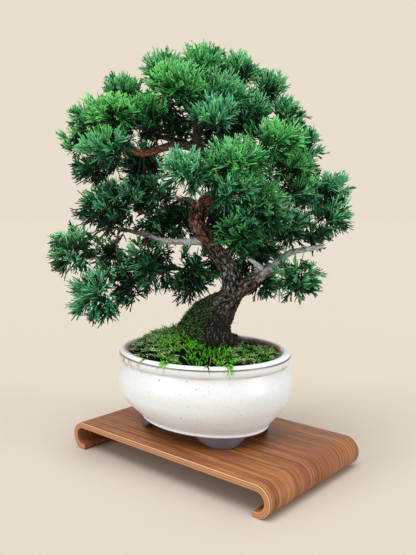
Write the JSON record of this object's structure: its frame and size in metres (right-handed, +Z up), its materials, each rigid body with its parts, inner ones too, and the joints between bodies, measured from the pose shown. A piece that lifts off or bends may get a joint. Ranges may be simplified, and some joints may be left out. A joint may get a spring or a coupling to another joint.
{
  "type": "bonsai tree in a pot",
  "caption": "Old juniper bonsai with a curved trunk, dead-wood branches and needle-like foliage, in a white glazed oval pot with feet, on a bent-wood stand.",
  "frame": {"origin": "under the middle of the whole object's bounding box, on the surface that the stand rests on", "axes": "+X along the stand's length, +Y from the stand's front edge to its back edge, +Z up"},
  "size_m": [0.2634, 0.2404, 0.4118],
  "materials": {
    "walnut": "oiled walnut veneer on bent plywood, satin",
    "glaze": "off-white satin glaze, unglazed purple-brown clay on the feet",
    "drain_plastic": "black moulded mesh",
    "soil": "damp dark granular soil bound by fine roots",
    "moss": "living moss with short grass-like tufts",
    "bark": "flaky bark, bare silvery dead wood on the jins",
    "foliage_bright": "fresh yellow-green scale-leaf shoots, matt",
    "foliage_mid": "mid-green scale-leaf shoots, matt",
    "foliage_blue": "blue-green scale-leaf shoots, matt",
    "foliage_dark": "shaded dark-green scale-leaf shoots, matt"
  },
  "bodies": {
    "root": {"stand": "walnut", "pot": "glaze", "drain_mesh_left": "drain_plastic", "drain_mesh_right": "drain_plastic", "soil": "soil", "moss": "moss", "tree": "bark", "spray_crown_top": "foliage_mid", "spray_crown_left": "foliage_mid", "spray_crown_front": "foliage_bright", "spray_crown_right": "foliage_mid", "spray_crown_back": "foliage_mid", "spray_upper_right": "foliage_mid", "spray_upper_left": "foliage_mid", "spray_left_bright": "foliage_bright", "spray_left_outer_high": "foliage_mid", "spray_left_outer_low": "foliage_mid", "spray_left_teal": "foliage_blue", "spray_left_under": "foliage_dark", "spray_left_back": "foliage_mid", "spray_inner_left": "foliage_dark", "spray_inner_left_back": "foliage_dark", "spray_center_front": "foliage_dark", "spray_center_back": "foliage_dark", "spray_center_sprig": "foliage_blue", "spray_inner_right": "foliage_dark", "spray_right_upper": "foliage_mid", "spray_right_bright": "foliage_bright", "spray_right_outer": "foliage_mid", "spray_right_front": "foliage_dark", "spray_right_back": "foliage_dark", "spray_far_right_high": "foliage_blue", "spray_far_right_low": "foliage_mid", "spray_right_lower_front": "foliage_blue", "spray_far_right_back": "foliage_dark", "spray_front_left": "foliage_blue", "spray_front_right": "foliage_bright", "spray_front_low": "foliage_blue", "spray_right_drop": "foliage_mid", "spray_low_center": "foliage_bright", "spray_low_right": "foliage_dark", "spray_low_right_edge": "foliage_dark", "spray_back_middle": "foliage_dark", "spray_jin_spray": "foliage_mid", "spray_low_back_right": "foliage_dark", "spray_middle_left": "foliage_blue", "spray_middle_left_inner": "foliage_dark", "spray_inner_middle": "foliage_dark", "spray_low_left_tip": "foliage_mid", "spray_low_left_front": "foliage_blue", "spray_low_left_middle": "foliage_dark", "spray_low_left_inner": "foliage_dark", "spray_hanging": "foliage_dark", "spray_under_trunk": "foliage_dark", "spray_low_left_back": "foliage_dark", "spray_low_left_high": "foliage_dark", "spray_low_back": "foliage_dark"}
  },
  "joints": []
}
